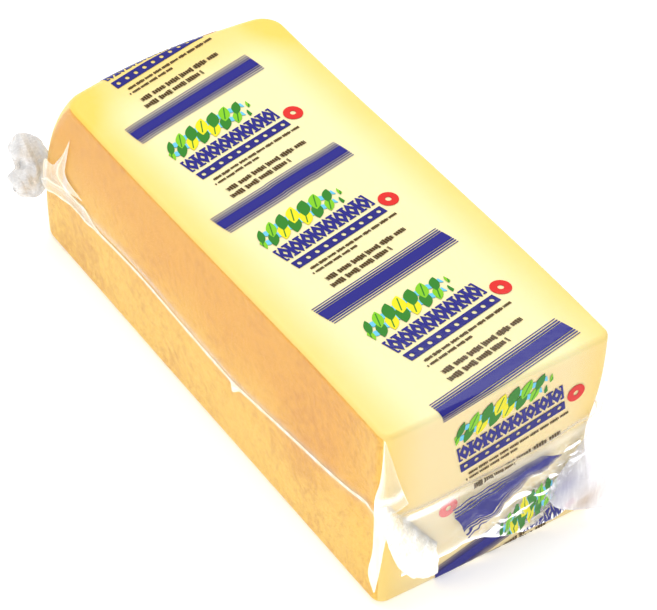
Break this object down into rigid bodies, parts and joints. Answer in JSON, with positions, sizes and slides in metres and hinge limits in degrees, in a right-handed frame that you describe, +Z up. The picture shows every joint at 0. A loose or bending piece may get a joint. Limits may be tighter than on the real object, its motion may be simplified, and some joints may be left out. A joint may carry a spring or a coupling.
{
  "type": "vacuum-packed cheese block",
  "caption": "Rectangular block of hard cheese with a bulging heel end, sealed in a clear printed film pouch with folded end seals and loose corner ears.",
  "frame": {"origin": "on the flat underside of the pack, midway across its width and midway along the cheese's flat top", "axes": "+X to the right across the width, +Y along the length towards the bulging heel end (the cut front end with the folded seal is at -Y), +Z up"},
  "size_m": [0.1491, 0.2911, 0.0971],
  "materials": {
    "cheese": "satin",
    "printed_film": "gloss",
    "clear_film": "gloss",
    "welded_film": "gloss",
    "loose_film": "gloss"
  },
  "bodies": {
    "root": {"cheese_block": "cheese", "upper_film": "printed_film", "lower_film": "clear_film", "left_side_seal": "welded_film", "right_side_seal": "welded_film", "front_end_seal": "welded_film", "back_end_seal": "welded_film", "front_right_ear": "loose_film", "front_left_ear": "loose_film", "back_left_ear": "loose_film", "back_right_ear": "loose_film"}
  },
  "joints": []
}
